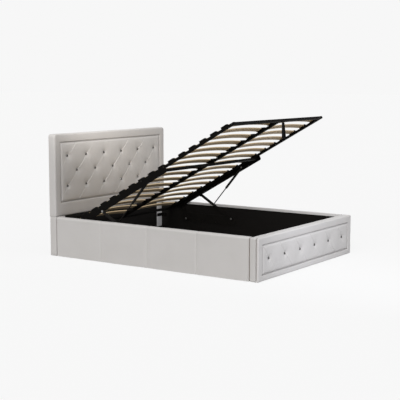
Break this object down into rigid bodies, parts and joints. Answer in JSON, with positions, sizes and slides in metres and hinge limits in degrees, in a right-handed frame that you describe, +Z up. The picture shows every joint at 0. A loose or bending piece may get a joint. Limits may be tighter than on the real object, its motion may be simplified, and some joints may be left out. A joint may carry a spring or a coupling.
{
  "type": "ottoman storage bed",
  "caption": "Upholstered storage bed with tufted headboard and footboard and a sprung-slat platform that lifts at the foot on gas struts; shown open, without its mattress.",
  "frame": {"origin": "middle of the footprint on the floor", "axes": "+Z up, +Y from the footboard to the headboard, +X to the right for someone standing at the footboard and looking at the headboard; left and right in names are that person's"},
  "size_m": [1.6, 2.15, 1.2258],
  "materials": {
    "back_cloth": "non-woven cloth",
    "black_board": "matt black faced board",
    "black_lining": "non-woven cloth",
    "black_steel": "satin powder coat",
    "black_timber": "matt black",
    "bolt_steel": "zinc plated",
    "cap_plastic": "moulded",
    "crystal_button": "faceted, mirror backed",
    "glide_plastic": "moulded",
    "pin_steel": "zinc plated",
    "piping": "satin cord in a shaded groove",
    "sprung_beech": "satin, laminated",
    "strap_webbing": "woven",
    "strut_black": "gloss black",
    "strut_rod_chrome": "polished",
    "timber": "sawn, unfinished",
    "upholstery": "soft satin faux leather, light warm grey"
  },
  "bodies": {
    "bed_base": {"base_pivot_pins": "pin_steel", "floor_battens": "black_timber", "floor_centre_beam": "black_timber", "floor_glides": "glide_plastic", "floor_panel_foot": "black_board", "floor_panel_head": "black_board", "floor_panel_middle": "black_board", "foot_corner_brackets": "black_steel", "footboard_buttons": "crystal_button", "footboard_core": "timber", "footboard_cover": "upholstery", "footboard_piping": "piping", "footboard_tufted_pad": "upholstery", "frame_bolts": "bolt_steel", "head_corner_brackets": "black_steel", "head_end_panel": "black_board", "headboard_back_cloth": "back_cloth", "headboard_buttons": "crystal_button", "headboard_core": "timber", "headboard_cover": "upholstery", "headboard_leg_left": "upholstery", "headboard_leg_right": "upholstery", "headboard_piping": "piping", "headboard_tufted_pad": "upholstery", "mechanism_base_bolts": "bolt_steel", "mechanism_base_left": "black_steel", "mechanism_base_right": "black_steel", "side_rail_board_left": "timber", "side_rail_board_right": "timber", "side_rail_cover_left": "upholstery", "side_rail_cover_right": "upholstery", "storage_lining": "black_lining"},
    "platform": {"platform_bracket_bolts": "bolt_steel", "platform_bracket_left": "black_steel", "platform_bracket_right": "black_steel", "platform_centre_tube": "black_steel", "platform_crossbar": "black_steel", "platform_end_caps": "cap_plastic", "platform_foot_tube": "black_steel", "platform_head_tube": "black_steel", "platform_pivot_pins": "pin_steel", "platform_side_tube_left": "black_steel", "platform_side_tube_right": "black_steel", "slat_caps_centre": "cap_plastic", "slat_caps_left": "cap_plastic", "slat_caps_right": "cap_plastic", "slats_left": "sprung_beech", "slats_right": "sprung_beech", "strap_staple": "black_steel"},
    "front_arms": {"front_arm_left": "black_steel", "front_arm_right": "black_steel"},
    "rear_arms": {"rear_arm_left": "black_steel", "rear_arm_right": "black_steel", "rear_arm_pins": "pin_steel"},
    "strut_cylinders": {"strut_cylinder_left": "strut_black", "strut_cylinder_right": "strut_black"},
    "strut_rods": {"strut_rod_left": "strut_rod_chrome", "strut_rod_right": "strut_rod_chrome", "strut_rod_pins": "pin_steel"},
    "pull_strap": {"pull_strap": "strap_webbing"}
  },
  "joints": [
    {"name": "lift", "type": "hinge", "parent": "bed_base", "child": "front_arms", "pos_m": [0, 0.16554, 0.22157], "axis": [1, 0, 0], "range_deg": [-26.09, 0], "stiffness_Nm_per_rad": 320, "springref_deg": 63.03},
    {"name": "platform_tilt", "type": "hinge", "parent": "front_arms", "child": "platform", "pos_m": [0, 0.51502, 0.43212], "axis": [1, 0, 0], "range_deg": [0, 55.3]},
    {"name": "rear_swing", "type": "hinge", "parent": "bed_base", "child": "rear_arms", "pos_m": [0, 0.69181, 0.18564], "axis": [1, 0, 0], "range_deg": [-38.62, 0]},
    {"name": "strut_swing", "type": "hinge", "parent": "platform", "child": "strut_cylinders", "pos_m": [0, 0.03468, 0.72463], "axis": [1, 0, 0], "range_deg": [0, 15.06]},
    {"name": "strut_stroke", "type": "slide", "parent": "strut_cylinders", "child": "strut_rods", "axis": [0, 0.6467, -0.7627], "range_m": [-0.12016, 0]},
    {"name": "strap_swing", "type": "hinge", "parent": "platform", "child": "pull_strap", "pos_m": [0, -0.79726, 1.19153], "axis": [1, 0, 0], "range_deg": [-35, 45]}
  ],
  "couplings": [
    {"joint": "platform_tilt", "follows": "lift", "ratio": -2.1194},
    {"joint": "rear_swing", "follows": "lift", "ratio": 1.4801},
    {"joint": "strut_swing", "follows": "lift", "ratio": -0.57697},
    {"joint": "strut_stroke", "follows": "lift", "m_per_rad": 0.2637}
  ]
}
